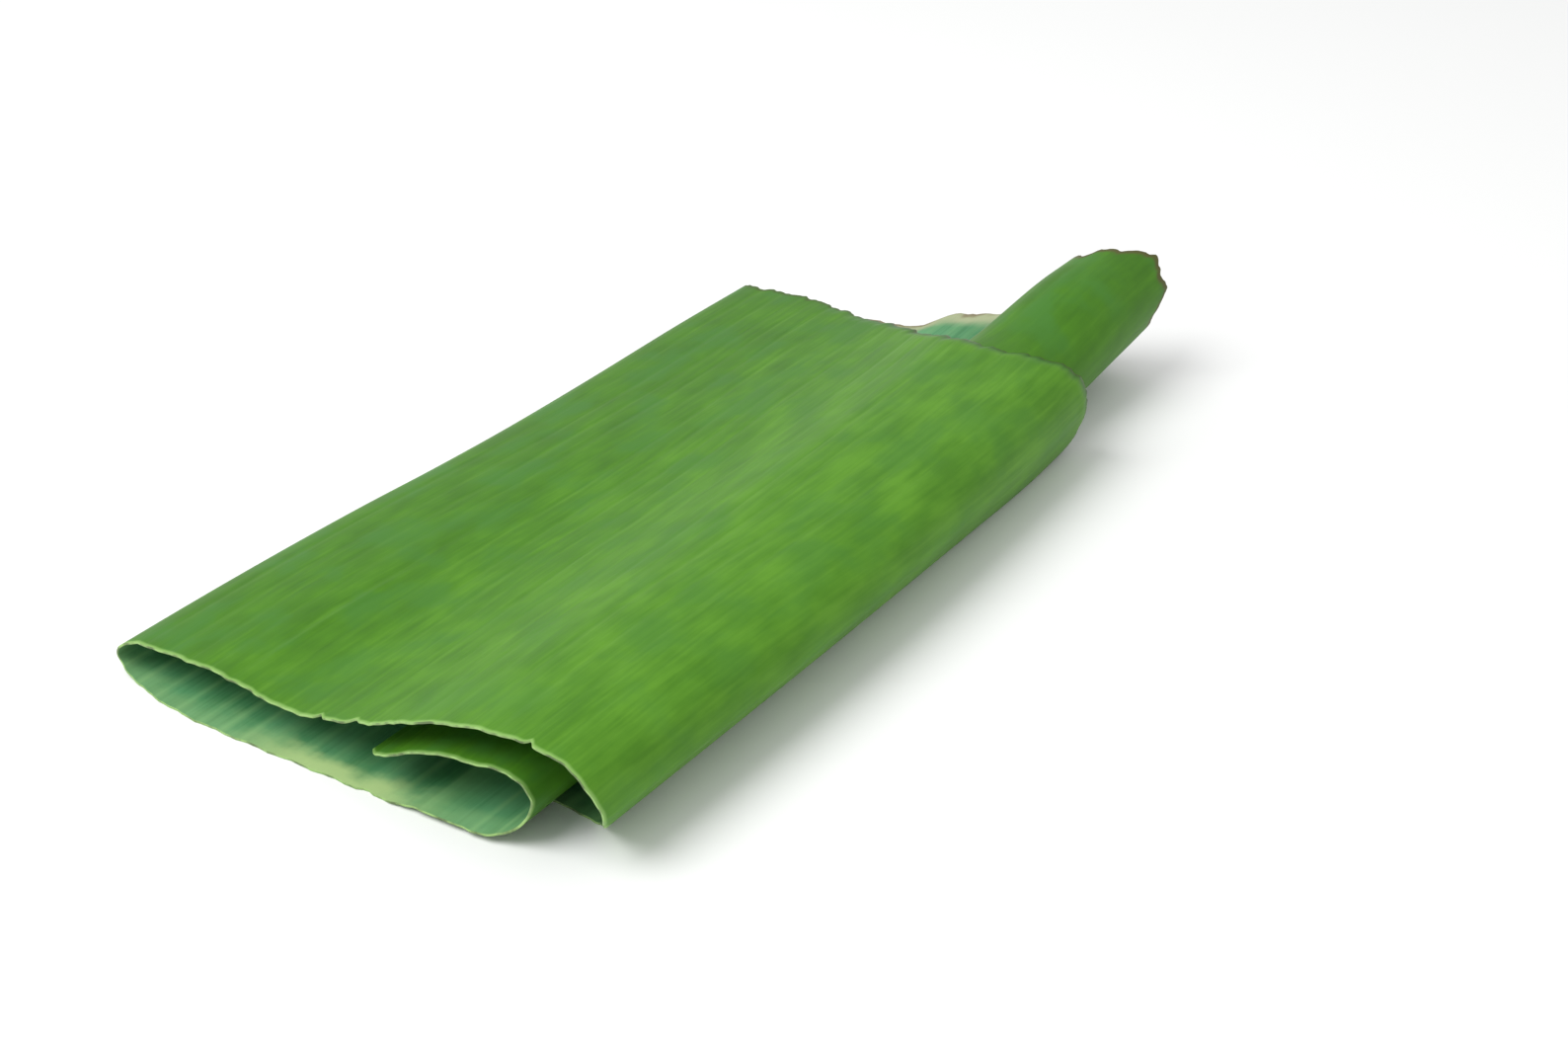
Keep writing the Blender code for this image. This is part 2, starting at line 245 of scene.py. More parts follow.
    def roll_line(self, along: float) -> Array:
        """Flattened roll at the cut end, which rounds and closes on itself behind, from its underside inwards."""
        behind = max(0.0, along - self.packet_length)
        taper = 1.0 - self.roll_taper_per_metre * behind
        rounding = ease((along - self.roll_round_from) / self.roll_round_over)
        wide = self.roll_radius * taper
        tall = mix(self.roll_pressed_radius, self.roll_radius, rounding) * taper
        centre = self.roll_across - self.roll_lean * behind
        near = smooth_curve(self.roll_near, self.curve_steps)
        place = np.arange(len(near)) / self.curve_steps
        turn = np.interp(place, np.arange(len(self.roll_turn)), self.roll_turn)
        angle = np.radians(turn)
        laps = np.clip((turn - self.lap_angle) / 90.0, 0.0, 3.0)
        inside = (self.solid_blade + self.layer_gap) * laps
        far = np.column_stack([
            centre + (wide - inside) * np.sin(angle),
            self.lift + tall - (tall - inside) * np.cos(angle),
        ])
        flat = turn < 0
        far[flat, 0] = centre + wide * angle[flat]
        far[flat, 1] = self.lift
        return mix(near, far, ease(along / self.packet_length))

    def bottom_line(self, along: float) -> Array:
        """Bottom layer from the roll to the left fold, which steps down from the tuck to the surface."""
        ramp_top = self.foot(along) - self.tuck_depth - self.layer_gap
        ramp_foot = ramp_top - self.ramp_length
        left = self.flat_start + self.left_shift(along)
        across = np.concatenate([
            np.linspace(ramp_top, ramp_foot, self.ramp_columns + 1),
            np.linspace(ramp_foot, left, self.bottom_columns + 1)[1:-1],
        ])
        up = mix(self.half, self.lift, ease((across - ramp_foot) / self.ramp_length))
        return np.column_stack([across, up])

    def columns(self, along: float) -> tuple[Array, Array, Array]:
        """Every column of the blade at one place along the veins.

        Args:
            along: the place along the veins.

        Returns:
            Places, normals of the upper face and runs, from the roll's inner edge to the tuck's edge.
        """
        wrap = self.risen(self.wrap_line(along), along)
        wrap_run = run_along(wrap)
        fixed = np.arange(0.0, self.wrap_fixed_to, self.wrap_step)
        run = np.concatenate([fixed, np.linspace(self.wrap_fixed_to, wrap_run[-1], self.tuck_columns)])
        outer = np.column_stack([np.interp(run, wrap_run, wrap[:, i]) for i in (0, 1)])
        wrap_normal = across_normal(wrap)
        outer_normal = np.column_stack([np.interp(run, wrap_run, wrap_normal[:, i]) for i in (0, 1)])

        roll = self.risen(self.roll_line(along), along)
        bottom = self.risen(self.bottom_line(along), along)
        inner = np.vstack([roll[::-1], bottom])
        inner_normal = np.vstack([
            -across_normal(roll)[::-1],
            across_normal(np.vstack([roll[:1], bottom]))[1:],
        ])
        steps = np.linalg.norm(np.diff(np.vstack([inner, outer[:1]]), axis=0), axis=1)
        inner_run = -np.cumsum(steps[::-1])[::-1]

        normals = np.vstack([inner_normal, outer_normal])
        normals /= np.linalg.norm(normals, axis=1)[:, None]
        return np.vstack([inner, outer]), normals, np.concatenate([inner_run, run])


@dataclass
class BladeEdges:
    """The knife's cut along the midrib and the leaf's own margin, each as (run, along)."""

    cut: Array = field(default_factory=lambda: millimetres(
        (-202, 5), (-186, 4.5), (-179, -2), (-150, -2), (-122, -1), (-112, -3.5), (-60, -4.7), (-15, -5),
        (0, -3), (12, 0), (50, 0), (80, -1), (120, -2.4), (165, -2.6), (182, -2.5), (190, 0.5), (198, 6),
        (206, 12), (214, 16), (250, 16)))
    margin: Array = field(default_factory=lambda: millimetres(
        (-240, 300), (-205, 298), (-190, 297), (-181, 296), (-172, 294), (-169, 293.5), (-166, 297), (-163, 299.5),
        (-160, 299.5), (-157, 304.5), (-154, 306.5), (-151, 308.5), (-148, 309), (-145, 306.5), (-142, 308),
        (-139, 306), (-136, 303), (-130, 301), (-122, 303), (-110, 303), (-96, 303.5), (-80, 304.5), (-68, 307),
        (-60, 309), (-53, 309.5), (-50, 307.5), (-46.5, 298), (-42, 294), (-20, 291), (0, 290), (8, 289),
        (14, 287), (18, 281), (22, 278), (30, 275.5), (42, 274.5), (50, 273), (58, 271.3), (66, 268.5), (74, 266),
        (82, 263.5), (90, 260.5), (98, 256), (106, 250), (118, 242), (135, 233.5), (150, 231.5), (165, 234.5),
        (178, 239), (190, 242.5), (205, 246), (245, 246)))
    margin_rags: Array = field(default_factory=lambda: np.array(
        [(0.4 * MM, 11.0 * MM, 0.3), (0.3 * MM, 17.3 * MM, 1.9), (0.25 * MM, 7.1 * MM, 4.0)]))
    fine_rags: Array = field(default_factory=lambda: np.array(
        [(0.18 * MM, 3.7 * MM, 0.9), (0.12 * MM, 2.3 * MM, 2.2), (0.2 * MM, 5.1 * MM, 5.2)]))
    cut_waver: Array = field(default_factory=lambda: np.array(
        [(0.22 * MM, 13.0 * MM, 0.4), (0.10 * MM, 4.9 * MM, 2.0)]))
    notches: Array = field(default_factory=lambda: millimetres(
        (92.0, 1.3, 0.9), (104.5, 1.6, 1.2), (161.0, 1.5, 0.8), (27.0, 0.6, 1.0), (-73.0, 1.1, 1.1)))
    roll_rag_scale: float = 1.6
    roll_rags_from: float = -110 * MM
    roll_rags_over: float = 20 * MM
    curve_steps: int = 12

    def place(self, outline: Array, run: Array) -> Array:
        """Where an outline lies along the veins, at each run."""
        line = smooth_curve(outline, self.curve_steps)
        return np.interp(run, line[:, 0], line[:, 1])

    @staticmethod
    def waver(waves: Array, run: Array) -> Array:
        """Sum of waves, each given as height, length and phase."""
        return sum(height * np.sin(2 * np.pi * run / length + phase) for height, length, phase in waves)

    def cut_place(self, run: Array) -> Array:
        """Where the cut edge lies, with the knife's waver and its small nicks."""
        nicks = sum(depth * np.exp(-((run - at) / wide) ** 2) for at, depth, wide in self.notches)
        return self.place(self.cut, run) + self.waver(self.cut_waver, run) + nicks

    def margin_place(self, run: Array) -> Array:
        """Where the margin lies, with its small tears, which are larger on the roll's end."""
        rags = self.waver(self.margin_rags, run) + self.waver(self.fine_rags, run)
        on_roll = ease((self.roll_rags_from - run) / self.roll_rags_over)
        return self.place(self.margin, run) + rags * mix(1.0, self.roll_rag_scale, on_roll)


@dataclass
class BladeRelief:
    """Height of the upper face over the plain section: vein furrows, soft waves, a crease, a curled margin."""

    vein_pitch: float = 8.0 * MM
    vein_start: float = 30.0 * MM
    vein_drift: float = 0.9 * MM
    vein_width: float = 0.85 * MM
    furrow_depth: float = 0.17 * MM
    pleat_height: float = 0.06 * MM
    fade: float = 14 * MM
    fades_in: float = 10 * MM
    fades_out: float = 176 * MM
    wave_height: float = 0.30 * MM
    waves_to: float = 150 * MM
    crease_run: float = 63 * MM
    crease_along: tuple[float, float] = (8 * MM, 52 * MM)
    crease_height: float = 0.35 * MM
    crease_width: float = 0.9 * MM
    curl_depth: float = 2.2 * MM
    curl_width: float = 7.0 * MM

    def vein_place(self, run: Array) -> Array:
        """Run counted in veins, a whole number on each vein, with their spacing slightly uneven."""
        vein = np.arange(-40, 40)
        centre = self.vein_start + self.vein_pitch * vein + self.vein_drift * np.sin(1.3 * vein)
        return np.interp(run, centre, vein)

    def vein_line(self, run: Array) -> Array:
        """Closeness to the nearest vein, 1 on it and 0 a little way off."""
        place = self.vein_place(run)
        distance = np.abs(place - np.round(place)) * self.vein_pitch
        return np.exp(-(distance / self.vein_width) ** 2)

    def height(self, run: Array, along: Array, to_margin: Array) -> Array:
        """Height at every point of the blade.

        Args:
            run: the run of each column.
            along: places along the veins, as rows and columns.
            to_margin: distance to the margin along the veins, as rows and columns.

        Returns:
            Heights along the upper face's normal, as rows and columns.
        """
        on_wrap = ease((run - self.fades_in) / self.fade) * (1.0 - ease((run - self.fades_out) / self.fade))
        on_roll = ease((-run - 100 * MM) / self.fade)
        place = self.vein_place(run)
        strength = 0.6 + 0.4 * np.sin(along / (37 * MM) + 2.4 * np.round(place) ** 2)
        furrows = self.vein_line(run) * strength * self.furrow_depth
        pleats = (np.abs(np.sin(np.pi * place)) - 0.6) * self.pleat_height
        top = ease((run - 20 * MM) / (25 * MM)) * (1.0 - ease((run - self.waves_to) / (25 * MM)))
        waves = np.sin(along / (17 * MM) + 3.0 * np.sin(run / (60 * MM))) * np.sin(run / (13 * MM) + 0.5)
        waves = waves + 0.8 * np.sin(along / (41 * MM) - run / (33 * MM))
        start, stop = self.crease_along
        crease_reach = ease((along - start) / (10 * MM)) * (1.0 - ease((along - stop) / (14 * MM)))
        crease = np.exp(-((run - self.crease_run) / self.crease_width) ** 2) * crease_reach
        curl = np.clip(1.0 - to_margin / self.curl_width, 0.0, 1.0) ** 1.6
        curl_share = ease((run - 45 * MM) / (45 * MM)) * (1.0 - ease((run - 200 * MM) / (15 * MM)))
        return ((pleats - furrows) * (on_wrap + 0.5 * on_roll) + self.wave_height * waves * top
                + self.crease_height * crease - self.curl_depth * curl * curl_share)


@dataclass
class LeafBlade:
    """The whole leaf as one thin closed sheet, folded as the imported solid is."""

    name: str = "banana_leaf_blade"
    node: str = "banana_leaf"
    slot: str = "leaf"
    body: str = "root"
    thickness: float = 0.6 * MM
    rim_bulge: float = 0.12 * MM
    rows: int = 92
    edge_crowding: float = 0.55
    first_station: float = -10 * MM
    last_station: float = 345 * MM
    station_step: float = 2.5 * MM
    far_station: float = 300 * MM
    sharp_angle: float = 50.0
    section: FoldedSection = field(default_factory=FoldedSection)
    edges: BladeEdges = field(default_factory=BladeEdges)
    relief: BladeRelief = field(default_factory=BladeRelief)

    def origin(self) -> Array:
        """The section's zero point in the frame, from the solid's left side, cut end and underside."""
        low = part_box(self.node)[0]
        left = self.section.wrap_near[:, 0].min() - self.section.half
        return np.array([low.x - left, low.y - self.edges.cut[:, 1].min(), low.z])

    def grids(self) -> tuple[Array, Array, Array, Array]:
        """Work out the blade as rows, from the cut end to the margin, and columns, from the roll to the tuck.

        Returns:
            Places on the middle of the blade, normals of its upper face, (run, along) and
            (distance from the cut, distance to the margin).
        """
        stations = np.arange(self.first_station, self.last_station + self.station_step, self.station_step)
        points, normals, runs = map(np.array, zip(*(self.section.columns(at) for at in stations)))
        near_run = runs[np.argmin(np.abs(stations))]
        far_run = runs[np.argmin(np.abs(stations - self.far_station))]
        start = self.edges.cut_place(near_run)
        end = self.edges.margin_place(far_run)
        share = np.linspace(0.0, 1.0, self.rows)
        share = share - self.edge_crowding * np.sin(2 * np.pi * share) / (2 * np.pi)
        along = start + np.multiply.outer(share, end - start)

        centre = np.zeros(along.shape + (3,))
        normal = np.zeros(along.shape + (3,))
        centre[:, :, 1] = along
        for column in range(along.shape[1]):
            for axis, flat_axis in ((0, 0), (2, 1)):
                line = points[:, column, flat_axis]
                centre[:, column, axis] = np.interp(along[:, column], stations, line)
                line = normals[:, column, flat_axis]
                normal[:, column, axis] = np.interp(along[:, column], stations, line)
        normal /= np.linalg.norm(normal, axis=2)[:, :, None]
        height = self.relief.height(near_run, along, end - along)
        centre += normal * height[:, :, None]
        place = np.stack([np.broadcast_to(near_run, along.shape), along], axis=2)
        distance = np.stack([along - start, end - along], axis=2)
        return centre + self.origin(), normal, place, distance

    @staticmethod
    def border(rows: int, columns: int) -> Array:
        """Indices of the grid's outer points, once round, in the order that keeps the upper face on the left."""
        grid = np.arange(rows * columns).reshape(rows, columns)
        return np.concatenate([grid[0, :], grid[1:, -1], grid[-1, -2::-1], grid[-2:0:-1, 0]])

    def outward(self, centre: Array, border: Array) -> Array:
        """Unit directions that point out of the blade along its border."""
        rows, columns = centre.shape[:2]
        inner_row = np.clip(border // columns, 1, rows - 2)
        inner_column = np.clip(border % columns, 1, columns - 2)
        flat = centre.reshape(-1, 3)
        away = flat[border] - flat[inner_row * columns + inner_column]
        return away / np.linalg.norm(away, axis=1)[:, None]

    def build(self, finishes: dict[BladeZone, bpy.types.Material]) -> bpy.types.Object:
        """Make the mesh, dress it and put it on the frame.

        Args:
            finishes: the material of each zone.

        Returns:
            The leaf's object.
        """
        centre, normal, place, distance = self.grids()
        rows, columns = centre.shape[:2]
        count = rows * columns
        upper = (centre + normal * self.thickness / 2).reshape(-1, 3)
        under = (centre - normal * self.thickness / 2).reshape(-1, 3)
        border = self.border(rows, columns)
        rim = centre.reshape(-1, 3)[border] + self.outward(centre, border) * self.rim_bulge
        points = np.vstack([upper, under, rim])
        lowest = CAD_BOUNDS[0][2]
        points[:, 2] = np.maximum(points[:, 2], lowest)

        grid = np.arange(count).reshape(rows, columns)
        a, b, c, d = grid[:-1, :-1], grid[:-1, 1:], grid[1:, 1:], grid[1:, :-1]
        upper_faces = np.stack([a, b, c, d], axis=2).reshape(-1, 4)
        under_faces = np.stack([a, d, c, b], axis=2).reshape(-1, 4) + count
        following = np.roll(border, -1)
        rim_at = 2 * count + np.arange(len(border))
        rim_next = np.roll(rim_at, -1)
        rim_faces = np.vstack([
            np.column_stack([following, border, rim_at, rim_next]),
            np.column_stack([rim_next, rim_at, border + count, following + count]),
        ])
        faces = np.vstack([upper_faces, under_faces, rim_faces])
        zones = np.repeat([int(zone) for zone in BladeZone],
                          [len(upper_faces), len(under_faces), len(rim_faces)])

        mesh = bpy.data.meshes.new(self.name)
        mesh.from_pydata(points.tolist(), [], faces.tolist())
        corners = faces.ravel()
        source = np.concatenate([np.arange(count), np.arange(count), border])[corners]
        for map_name, values in ((BLADE_MAP, place), (EDGE_MAP, distance)):
            layer = mesh.uv_layers.new(name=map_name)
            layer.uv.foreach_set("vector", values.reshape(-1, 2)[source].astype(np.float32).ravel())
        vein = np.broadcast_to(self.relief.vein_line(place[0, :, 0]), (rows, columns)).ravel()
        layer = mesh.attributes.new(VEIN_LAYER, "FLOAT", "POINT")
        layer.data.foreach_set("value", np.concatenate([vein, vein, vein[border]]).astype(np.float32))
        mesh.polygons.foreach_set("material_index", zones.astype(np.int32))
        for zone in BladeZone:
            mesh.materials.append(finishes[zone])
        mesh.update()
        mesh.shade_smooth()
        mesh.set_sharp_from_angle(angle=radians(self.sharp_angle))

        leaf = bpy.data.objects.new(self.name, mesh)
        bpy.context.scene.collection.objects.link(leaf)
        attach(leaf, self.body)
        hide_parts(self.node)
        log.info("%s: %d faces on %s", self.name, len(mesh.polygons), self.body)
        return leaf


class NodeBench:
    """Adds nodes to a material's tree and joins them up."""

    def __init__(self, name: str) -> None:
        """Start a material with its Principled shader."""
        self.material = bpy.data.materials.new(name)
        self.material.use_nodes = True
        self.tree = self.material.node_tree
        self.shader = self.tree.nodes["Principled BSDF"]

    def feed(self, socket: bpy.types.NodeSocket, value: object) -> None:
        """Link a socket to another, or set its own value."""
        if isinstance(value, bpy.types.NodeSocket):
            self.tree.links.new(value, socket)
        elif isinstance(value, tuple) and len(value) == 3 and socket.type == "RGBA":
            socket.default_value = (*value, 1.0)
        else:
            socket.default_value = value

    def place(self, map_name: str) -> tuple[bpy.types.NodeSocket, bpy.types.NodeSocket]:
        """The two numbers that a map holds at each point."""
        source = self.tree.nodes.new("ShaderNodeUVMap")
        source.uv_map = map_name
        split = self.tree.nodes.new("ShaderNodeSeparateXYZ")
        self.feed(split.inputs[0], source.outputs[0])
        return split.outputs[0], split.outputs[1]

    def layer(self, name: str) -> bpy.types.NodeSocket:
        """A number that the mesh carries at each point."""
        source = self.tree.nodes.new("ShaderNodeAttribute")
        source.attribute_name = name
        return source.outputs["Fac"]

    def sum(self, operation: str, *values: object) -> bpy.types.NodeSocket:
        """One step of arithmetic."""
        node = self.tree.nodes.new("ShaderNodeMath")
        node.operation = operation
        for socket, value in zip(node.inputs, values):
            self.feed(socket, value)
        return node.outputs[0]

    def rise(self, value: bpy.types.NodeSocket, low: float, high: float) -> bpy.types.NodeSocket:
        """Rise smoothly from 0 at low to 1 at high, or fall if high is the smaller."""
        node = self.tree.nodes.new("ShaderNodeMapRange")
        node.interpolation_type = "SMOOTHSTEP"
        turned = high < low
        self.feed(node.inputs["Value"], value)
        node.inputs["From Min"].default_value = min(low, high)
        node.inputs["From Max"].default_value = max(low, high)
        node.inputs["To Min"].default_value = float(turned)
        node.inputs["To Max"].default_value = float(not turned)
        return node.outputs["Result"]

    def noise(self, run: bpy.types.NodeSocket, along: bpy.types.NodeSocket, run_size: float,
              along_size: float, detail: float = 3.0, seed: float = 0.0) -> bpy.types.NodeSocket:
        """Uneven growth, drawn out along the veins.

        Args:
            run: the place across the veins.
            along: the place along them.
            run_size: the patches' size across the veins, in metres.
            along_size: their size along the veins, in metres.
            detail: how many finer layers the patches have.
            seed: which drawing of the noise is used.

        Returns:
            A number round 0.5 at each point.
        """
        join = self.tree.nodes.new("ShaderNodeCombineXYZ")
        self.feed(join.inputs[0], self.sum("DIVIDE", run, run_size))
        self.feed(join.inputs[1], self.sum("DIVIDE", along, along_size))
        join.inputs[2].default_value = seed
        node = self.tree.nodes.new("ShaderNodeTexNoise")
        self.feed(node.inputs["Vector"], join.outputs[0])
        node.inputs["Scale"].default_value = 1.0
        node.inputs["Detail"].default_value = detail
        return node.outputs["Fac"]

    def blend(self, share: object, first: object, second: object) -> bpy.types.NodeSocket:
        """Mix two colours by a share."""
        node = self.tree.nodes.new("ShaderNodeMix")
        node.data_type = "RGBA"
        for socket, value in zip((node.inputs[0], node.inputs[6], node.inputs[7]), (share, first, second)):
            self.feed(socket, value)
        return node.outputs[2]

    def ramp(self, value: bpy.types.NodeSocket, *stops: tuple[float, Colour]) -> bpy.types.NodeSocket:
        """Colours along a scale."""
        node = self.tree.nodes.new("ShaderNodeValToRGB")
        scale = node.color_ramp
        while len(scale.elements) < len(stops):
            scale.elements.new(0.5)
        for element, (at, colour) in zip(scale.elements, stops):
            element.position = at
            element.color = (*colour, 1.0)
        self.feed(node.inputs[0], value)
        return node.outputs[0]

    def bump(self, height: bpy.types.NodeSocket, distance: float, strength: float) -> bpy.types.NodeSocket:
        """Turn a height into a normal."""
        node = self.tree.nodes.new("ShaderNodeBump")
        node.inputs["Strength"].default_value = strength
        node.inputs["Distance"].default_value = distance
        self.feed(node.inputs["Height"], height)
        return node.outputs[0]


@dataclass(frozen=True)
class UpperFace:
    """Satin mid green of the upper face, streaked along the veins, with painted light towards the crest and
    painted shade along the curled margin.
    """

    dark: Colour = (0.050, 0.160, 0.012)
    middle: Colour = (0.066, 0.202, 0.013)
    light: Colour = (0.100, 0.270, 0.020)
    vein: Colour = (0.125, 0.300, 0.030)
    blue_cast: Colour = (0.058, 0.190, 0.028)
    # Painted shade of the margin where it curls down.
    painted_margin_shade: Colour = (0.026, 0.105, 0.012)
    shine: float = 0.12
    cut_rim: Colour = (0.270, 0.480, 0.130)
    dry_rim: Colour = (0.060, 0.100, 0.020)
    brown: Colour = (0.100, 0.080, 0.030)
    roughness: tuple[float, float] = (0.40, 0.52)

    def material(self) -> bpy.types.Material:
        """Make the upper face's material."""
        bench = NodeBench("leaf_upper_face")
        run, along = bench.place(BLADE_MAP)
        from_cut, to_margin = bench.place(EDGE_MAP)
        patch = bench.noise(run, along, 11 * MM, 19 * MM, 5.0, 7.0)
        streak = bench.noise(run, along, 1.7 * MM, 26 * MM, 3.0, 3.0)
        fine = bench.noise(run, along, 0.8 * MM, 14 * MM, 2.0, 8.0)
        # Painted light: this share rises from the left fold to the crest. It lightens the upper face towards the
        # crest and weakens the bluish blotches there, standing in for light falling more fully on the rising part.
        across = bench.rise(run, 15 * MM, 135 * MM)
        tone = bench.sum("MULTIPLY_ADD", patch, 0.55, bench.sum("MULTIPLY", fine, 0.14))
        tone = bench.sum("MULTIPLY_ADD", streak, 0.34, tone)
        tone = bench.sum("MULTIPLY_ADD", across, 0.16, bench.sum("SUBTRACT", tone, 0.095))
        colour = bench.ramp(tone, (0.34, self.dark), (0.50, self.middle), (0.70, self.light))
        cast = bench.rise(bench.noise(run, along, 15 * MM, 22 * MM, 3.0, 11.0), 0.46, 0.66)
        cast = bench.sum("MULTIPLY", cast, bench.sum("MULTIPLY_ADD", across, -0.45, 0.85))
        colour = bench.blend(cast, colour, self.blue_cast)
        vein = bench.sum("MULTIPLY", bench.layer(VEIN_LAYER), bench.rise(streak, 0.40, 0.70))
        colour = bench.blend(bench.sum("MULTIPLY", vein, 0.22), colour, self.vein)
        # Painted shade: a dark band along the margin of the wrap's top, where the curled margin faces away from
        # the light.
        margin_shade_share = bench.sum("MULTIPLY", bench.rise(to_margin, 6.5 * MM, 1.5 * MM), bench.rise(run, 58 * MM, 100 * MM))
        colour = bench.blend(bench.sum("MULTIPLY", margin_shade_share, 0.75), colour, self.painted_margin_shade)
        ragged = bench.noise(run, along, 3 * MM, 3 * MM, 3.0, 5.0)
        reach = bench.sum("MULTIPLY_ADD", ragged, -2.4 * MM, to_margin)
        dry = bench.rise(reach, 1.2 * MM, -0.6 * MM)
        colour = bench.blend(bench.sum("MULTIPLY", dry, 0.8), colour, self.dry_rim)
        tip = bench.rise(run, -95 * MM, -115 * MM)
        browned = bench.sum("MULTIPLY", bench.rise(reach, 2.6 * MM, -0.4 * MM), tip)
        colour = bench.blend(bench.sum("MULTIPLY", browned, 0.75), colour, self.brown)
        rim = bench.rise(from_cut, 1.3 * MM, 0.2 * MM)
        colour = bench.blend(bench.sum("MULTIPLY", rim, 0.75), colour, self.cut_rim)
        bench.feed(bench.shader.inputs["Base Color"], colour)
        bench.shader.inputs["Specular IOR Level"].default_value = self.shine
        gloss = bench.tree.nodes.new("ShaderNodeMapRange")
        bench.feed(gloss.inputs["Value"], patch)
        gloss.inputs["To Min"].default_value = self.roughness[0]
        gloss.inputs["To Max"].default_value = self.roughness[1]
        bench.feed(bench.shader.inputs["Roughness"], gloss.outputs["Result"])
        lines = bench.sum("MULTIPLY_ADD", fine, 0.5, streak)
        bench.feed(bench.shader.inputs["Normal"], bench.bump(lines, 0.10 * MM, 0.5))
        return bench.material


@dataclass(frozen=True)
class Underside:
    """Bluish waxy green of the underside, paler towards its edges, with painted light on the bottom layer's inner
    face near the cut end, and its ribs showing.
    """

    deep: Colour = (0.050, 0.200, 0.075)
    waxy: Colour = (0.115, 0.330, 0.150)
    rib: Colour = (0.200, 0.430, 0.180)
    # Pale green of the underside near the cut, also used as painted light on the bottom layer's inner face.
    pale_and_painted_light: Colour = (0.400, 0.560, 0.230)
    dry: Colour = (0.420, 0.440, 0.260)
    brown: Colour = (0.180, 0.130, 0.065)
    shine: float = 0.15
    roughness: float = 0.55

    def material(self) -> bpy.types.Material:
        """Make the underside's material."""
        bench = NodeBench("leaf_underside")
        run, along = bench.place(BLADE_MAP)
        from_cut, to_margin = bench.place(EDGE_MAP)
        wax = bench.noise(run, along, 14 * MM, 30 * MM, 4.0, 1.0)
        fine = bench.noise(run, along, 1.1 * MM, 50 * MM, 2.0, 4.0)
        tone = bench.sum("MULTIPLY_ADD", wax, 0.7, bench.sum("MULTIPLY", fine, 0.3))
        colour = bench.ramp(tone, (0.36, self.deep), (0.62, self.waxy))
        colour = bench.blend(bench.sum("MULTIPLY", bench.layer(VEIN_LAYER), 0.6), colour, self.rib)
        uneven = bench.noise(run, along, 9 * MM, 7 * MM, 3.0, 9.0)
        reach = bench.sum("MULTIPLY_ADD", uneven, -14 * MM, from_cut)
        # Paler towards the cut edge, as the underside is. On the bottom layer, seen inside the cut end, the
        # paleness is strengthened as painted light.
        pale_and_painted_light = bench.rise(reach, 3 * MM, -6 * MM)
        painted_light_on_bottom = bench.sum("MULTIPLY", bench.rise(run, -95 * MM, -75 * MM), bench.rise(run, -25 * MM, -55 * MM))
        pale_and_painted_light = bench.sum("MULTIPLY", pale_and_painted_light, bench.sum("MULTIPLY_ADD", painted_light_on_bottom, 0.75, 0.2))
        colour = bench.blend(pale_and_painted_light, colour, self.pale_and_painted_light)
        dry_reach = bench.sum("MULTIPLY_ADD", uneven, -9 * MM, to_margin)
        dried = bench.rise(dry_reach, 9 * MM, -2 * MM)
        colour = bench.blend(bench.sum("MULTIPLY", dried, 0.85), colour, self.dry)
        browned = bench.rise(dry_reach, -1.5 * MM, -5 * MM)
        colour = bench.blend(bench.sum("MULTIPLY", browned, 0.8), colour, self.brown)
        bench.feed(bench.shader.inputs["Base Color"], colour)
        bench.shader.inputs["Roughness"].default_value = self.roughness
        bench.shader.inputs["Specular IOR Level"].default_value = self.shine
        lines = bench.sum("MULTIPLY_ADD", bench.layer(VEIN_LAYER), 0.8, fine)
        bench.feed(bench.shader.inputs["Normal"], bench.bump(lines, 0.15 * MM, 0.6))
        return bench.material


@dataclass(frozen=True)
class CutRim:
    """The blade's thin edge: pale sap green at the knife's cut and brown at the margin."""

    fresh: Colour = (0.290, 0.480, 0.150)
    bruised: Colour = (0.110, 0.170, 0.060)
    brown: Colour = (0.130, 0.100, 0.045)
    roughness: float = 0.6

    def material(self) -> bpy.types.Material:
        """Make the edge's material."""
        bench = NodeBench("leaf_cut_rim")
        run, along = bench.place(BLADE_MAP)
        from_cut, to_margin = bench.place(EDGE_MAP)
        spots = bench.noise(run, along, 5 * MM, 5 * MM, 3.0, 6.0)
        colour = bench.ramp(spots, (0.38, self.bruised), (0.56, self.fresh))
        on_margin = bench.rise(to_margin, 3 * MM, 0.5 * MM)
        colour = bench.blend(on_margin, colour, self.brown)
        bench.feed(bench.shader.inputs["Base Color"], colour)
        bench.shader.inputs["Roughness"].default_value = self.roughness
        return bench.material


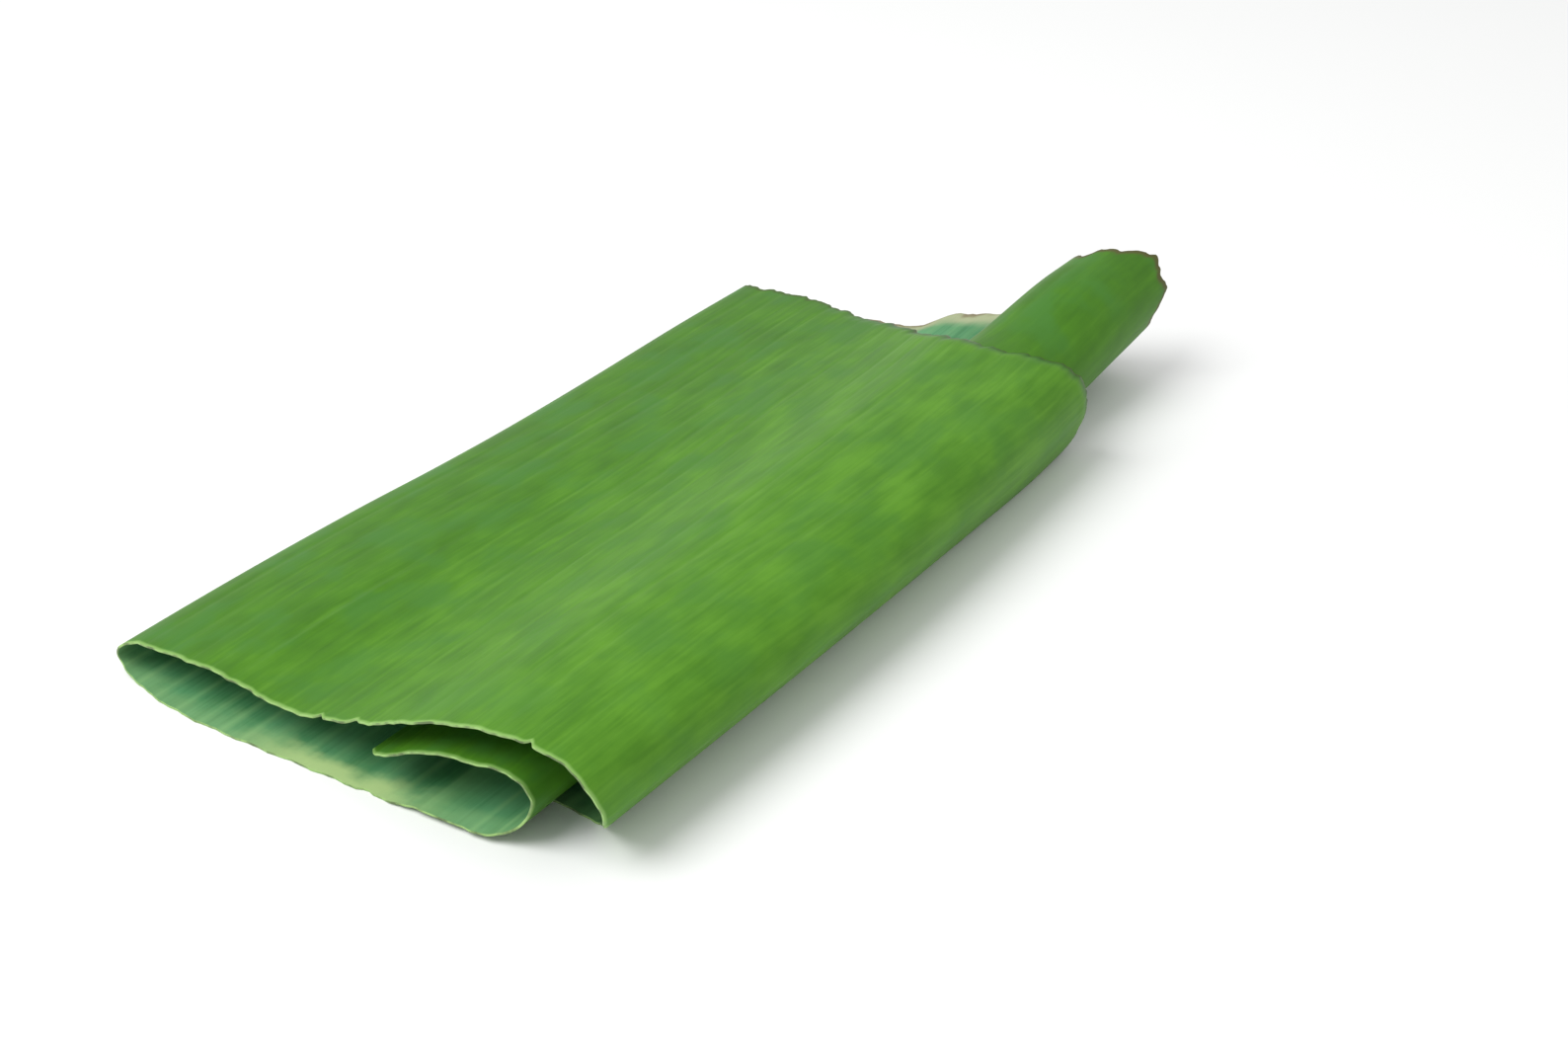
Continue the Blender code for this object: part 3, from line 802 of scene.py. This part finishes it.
@dataclass
class Studio:
    """Pale floor, soft light from the upper left and a camera at the photograph's angle."""

    fold_at: Vector
    floor_size: float = 12.0
    floor_colour: Colour = (0.88, 0.885, 0.88)
    focal_pixels: float = 2336.0
    sensor: float = 36.0
    camera_from_fold: tuple[float, float, float] = (412.0 * MM, -324.5 * MM, 326.4 * MM)
    camera_looks: tuple[float, float, float] = (-0.4740, 0.7299, -0.4924)
    world_strength: float = 0.78
    key_at: tuple[float, float, float] = (-0.42, -0.80, 1.25)
    key_size: float = 1.1
    key_watts: float = 17.0

    def floor(self) -> bpy.types.Object:
        """Lay the floor."""
        half = self.floor_size / 2
        mesh = bpy.data.meshes.new("floor")
        mesh.from_pydata([(-half, -half, 0), (half, -half, 0), (half, half, 0), (-half, half, 0)],
                         [], [(0, 1, 2, 3)])
        bench = NodeBench("floor_white")
        bench.shader.inputs["Base Color"].default_value = (*self.floor_colour, 1.0)
        bench.shader.inputs["Roughness"].default_value = 0.9
        bench.shader.inputs["Specular IOR Level"].default_value = 0.0
        mesh.materials.append(bench.material)
        floor = bpy.data.objects.new("floor", mesh)
        bpy.context.scene.collection.objects.link(floor)
        return floor

    def lights(self) -> None:
        """Set the soft key light and the room's even light."""
        light = bpy.data.lights.new("soft_key", "AREA")
        light.shape = "DISK"
        light.size = self.key_size
        light.energy = self.key_watts
        key = bpy.data.objects.new("soft_key", light)
        key.location = self.key_at
        key.rotation_euler = (-Vector(self.key_at)).to_track_quat("-Z", "Y").to_euler()
        bpy.context.scene.collection.objects.link(key)
        world = bpy.data.worlds.new("studio")
        world.use_nodes = True
        background = world.node_tree.nodes["Background"]
        background.inputs["Color"].default_value = (1.0, 1.0, 1.0, 1.0)
        background.inputs["Strength"].default_value = self.world_strength
        bpy.context.scene.world = world

    def camera(self) -> bpy.types.Object:
        """Set the camera where the photograph was taken from."""
        data = bpy.data.cameras.new("camera")
        data.sensor_fit = "HORIZONTAL"
        data.sensor_width = self.sensor
        data.angle = 2 * atan(PHOTO_WIDTH / 2 / self.focal_pixels)
        data.clip_start = 0.01
        camera = bpy.data.objects.new("camera", data)
        camera.location = self.fold_at + Vector(self.camera_from_fold)
        camera.rotation_euler = Vector(self.camera_looks).to_track_quat("-Z", "Y").to_euler()
        bpy.context.scene.collection.objects.link(camera)
        bpy.context.scene.camera = camera
        return camera

    def build(self) -> None:
        """Build the whole studio."""
        self.floor()
        self.lights()
        self.camera()
        bpy.context.scene.view_settings.view_transform = "Standard"
        log.info("studio: floor, light and camera")


def main() -> None:
    """Build the leaf and the studio round it."""
    logging.basicConfig(level=logging.INFO)
    blade = LeafBlade()
    Studio(Vector(blade.origin())).build()
    finishes = {
        BladeZone.UPPER_FACE: UpperFace().material(),
        BladeZone.UNDERSIDE: Underside().material(),
        BladeZone.CUT_RIM: CutRim().material(),
    }
    blade.build(finishes)


if __name__ == "__main__":
    main()
